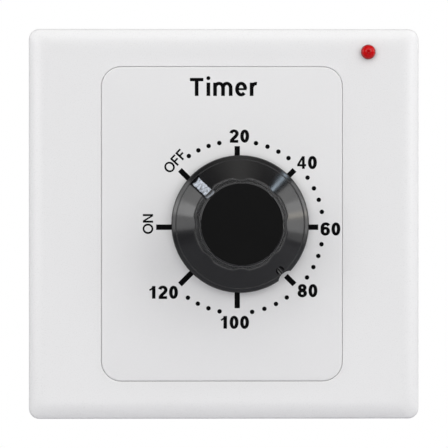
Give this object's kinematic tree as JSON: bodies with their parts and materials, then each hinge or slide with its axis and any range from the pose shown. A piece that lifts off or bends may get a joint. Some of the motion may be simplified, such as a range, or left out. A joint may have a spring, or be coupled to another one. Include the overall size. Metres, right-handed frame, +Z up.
{
  "type": "clockwork wall timer switch",
  "caption": "Square wall plate with a raised dial panel, a fluted skirted knob that winds a clockwork countdown switch behind it, and a round indicator lamp.",
  "frame": {"origin": "centre of the wall plate on the wall plane, where the back of the mounting plate seats", "axes": "+X to the right and +Z up as a user faces the timer, +Y into the wall; the knob points to -Y and the clockwork housing to +Y"},
  "size_m": [0.086, 0.0578, 0.086],
  "materials": {
    "cover_plastic": "satin moulded white plastic",
    "panel_plastic": "satin moulded white plastic",
    "scale_print": "dark printed ink",
    "base_plastic": "matt moulded plastic",
    "knob_black": "glossy black moulding, matt top",
    "pointer_white": "white filled groove",
    "lamp_red": "translucent red lens",
    "plated_steel": "bright zinc plate",
    "blued_spring": "blued spring steel",
    "gear_brass": "stamped brass",
    "plate_brass": "rolled brass plate",
    "contact_bronze": "phosphor bronze strip",
    "contact_silver": "silver contact",
    "cam_nylon": "natural nylon",
    "block_phenolic": "dark phenolic moulding",
    "board_green": "green solder mask",
    "resistor_tan": "lacquered resistor body",
    "wire_red": "red wire insulation",
    "wire_blue": "blue wire insulation",
    "wire_black": "black wire insulation"
  },
  "bodies": {
    "wall_unit": {"trim_frame": "cover_plastic", "dial_panel": "panel_plastic", "mounting_plate": "base_plastic", "rear_housing": "base_plastic", "wall_screw_left": "plated_steel", "wall_screw_right": "plated_steel", "housing_screw_lower_left": "plated_steel", "housing_screw_lower_right": "plated_steel", "housing_screw_upper_left": "plated_steel", "housing_screw_upper_right": "plated_steel", "timer_fixing_screw_upper": "plated_steel", "timer_fixing_screw_lower": "plated_steel", "stop_pin": "plated_steel", "mainspring": "blued_spring", "spring_post": "plated_steel", "movement_front_plate": "plate_brass", "movement_rear_plate": "plate_brass", "pillar_lower_left": "plated_steel", "pillar_lower_right": "plated_steel", "pillar_upper_left": "plated_steel", "pillar_upper_right": "plated_steel", "contact_block": "block_phenolic", "fixed_leaf": "contact_bronze", "fixed_contact": "contact_silver", "terminal_block": "block_phenolic", "terminal_line": "gear_brass", "terminal_load": "gear_brass", "terminal_neutral": "gear_brass", "terminal_screw_line": "plated_steel", "terminal_screw_load": "plated_steel", "terminal_screw_neutral": "plated_steel", "lamp_lens": "lamp_red", "lamp_board": "board_green", "lamp_resistor": "resistor_tan", "lamp_wire_live": "wire_red", "lamp_wire_neutral": "wire_blue", "line_jumper": "wire_black"},
    "knob_shaft": {"knob": "knob_black", "pointer_inlay": "pointer_white", "knob_bush": "gear_brass", "knob_set_screw": "plated_steel", "main_arbor": "plated_steel", "stop_arm": "plated_steel", "switching_cam": "cam_nylon", "clutch_spring": "blued_spring"},
    "great_gear": {"great_wheel": "gear_brass"},
    "second_gear": {"second_wheel": "gear_brass", "second_pinion": "plated_steel"},
    "third_gear": {"third_wheel": "gear_brass", "third_pinion": "plated_steel"},
    "fourth_gear": {"fourth_wheel": "gear_brass", "fourth_pinion": "plated_steel"},
    "escape_gear": {"escape_wheel": "gear_brass", "escape_pinion": "plated_steel"},
    "pallet_lever": {"pallet": "gear_brass", "pallet_arbor": "plated_steel"},
    "contact_leaf": {"moving_leaf": "contact_bronze", "moving_contact": "contact_silver"}
  },
  "joints": [
    {"name": "knob_turn", "type": "hinge", "parent": "wall_unit", "child": "knob_shaft", "pos_m": [0.0035, 0, 0], "axis": [0, 1, 0], "range_deg": [-45, 270], "deforming": ["mainspring"]},
    {"name": "great_spin", "type": "hinge", "parent": "wall_unit", "child": "great_gear", "pos_m": [0.0035, 0, 0], "axis": [0, 1, 0], "continuous": true},
    {"name": "second_spin", "type": "hinge", "parent": "wall_unit", "child": "second_gear", "pos_m": [-0.00862, 0, 0.007], "axis": [0, 1, 0], "continuous": true},
    {"name": "third_spin", "type": "hinge", "parent": "wall_unit", "child": "third_gear", "pos_m": [-0.01057, 0, -0.00403], "axis": [0, 1, 0], "continuous": true},
    {"name": "fourth_spin", "type": "hinge", "parent": "wall_unit", "child": "fourth_gear", "pos_m": [-0.00908, 0, -0.01247], "axis": [0, 1, 0], "continuous": true},
    {"name": "escape_spin", "type": "hinge", "parent": "wall_unit", "child": "escape_gear", "pos_m": [-0.00064, 0, -0.01396], "axis": [0, 1, 0], "continuous": true},
    {"name": "pallet_rock", "type": "hinge", "parent": "wall_unit", "child": "pallet_lever", "pos_m": [0.00564, 0, -0.01341], "axis": [0, 1, 0], "range_deg": [-4.5, 4.5]},
    {"name": "contact_close", "type": "hinge", "parent": "wall_unit", "child": "contact_leaf", "pos_m": [-0.0055, 0.025, 0.012], "axis": [0, -1, 0], "range_deg": [0, 2.3], "stiffness_Nm_per_rad": 0.002}
  ],
  "couplings": [
    {"joint": "great_spin", "follows": "fourth_spin", "ratio": -0.0046296},
    {"joint": "second_spin", "follows": "fourth_spin", "ratio": 0.027778},
    {"joint": "third_spin", "follows": "fourth_spin", "ratio": -0.16667},
    {"joint": "escape_spin", "follows": "fourth_spin", "ratio": -6}
  ]
}
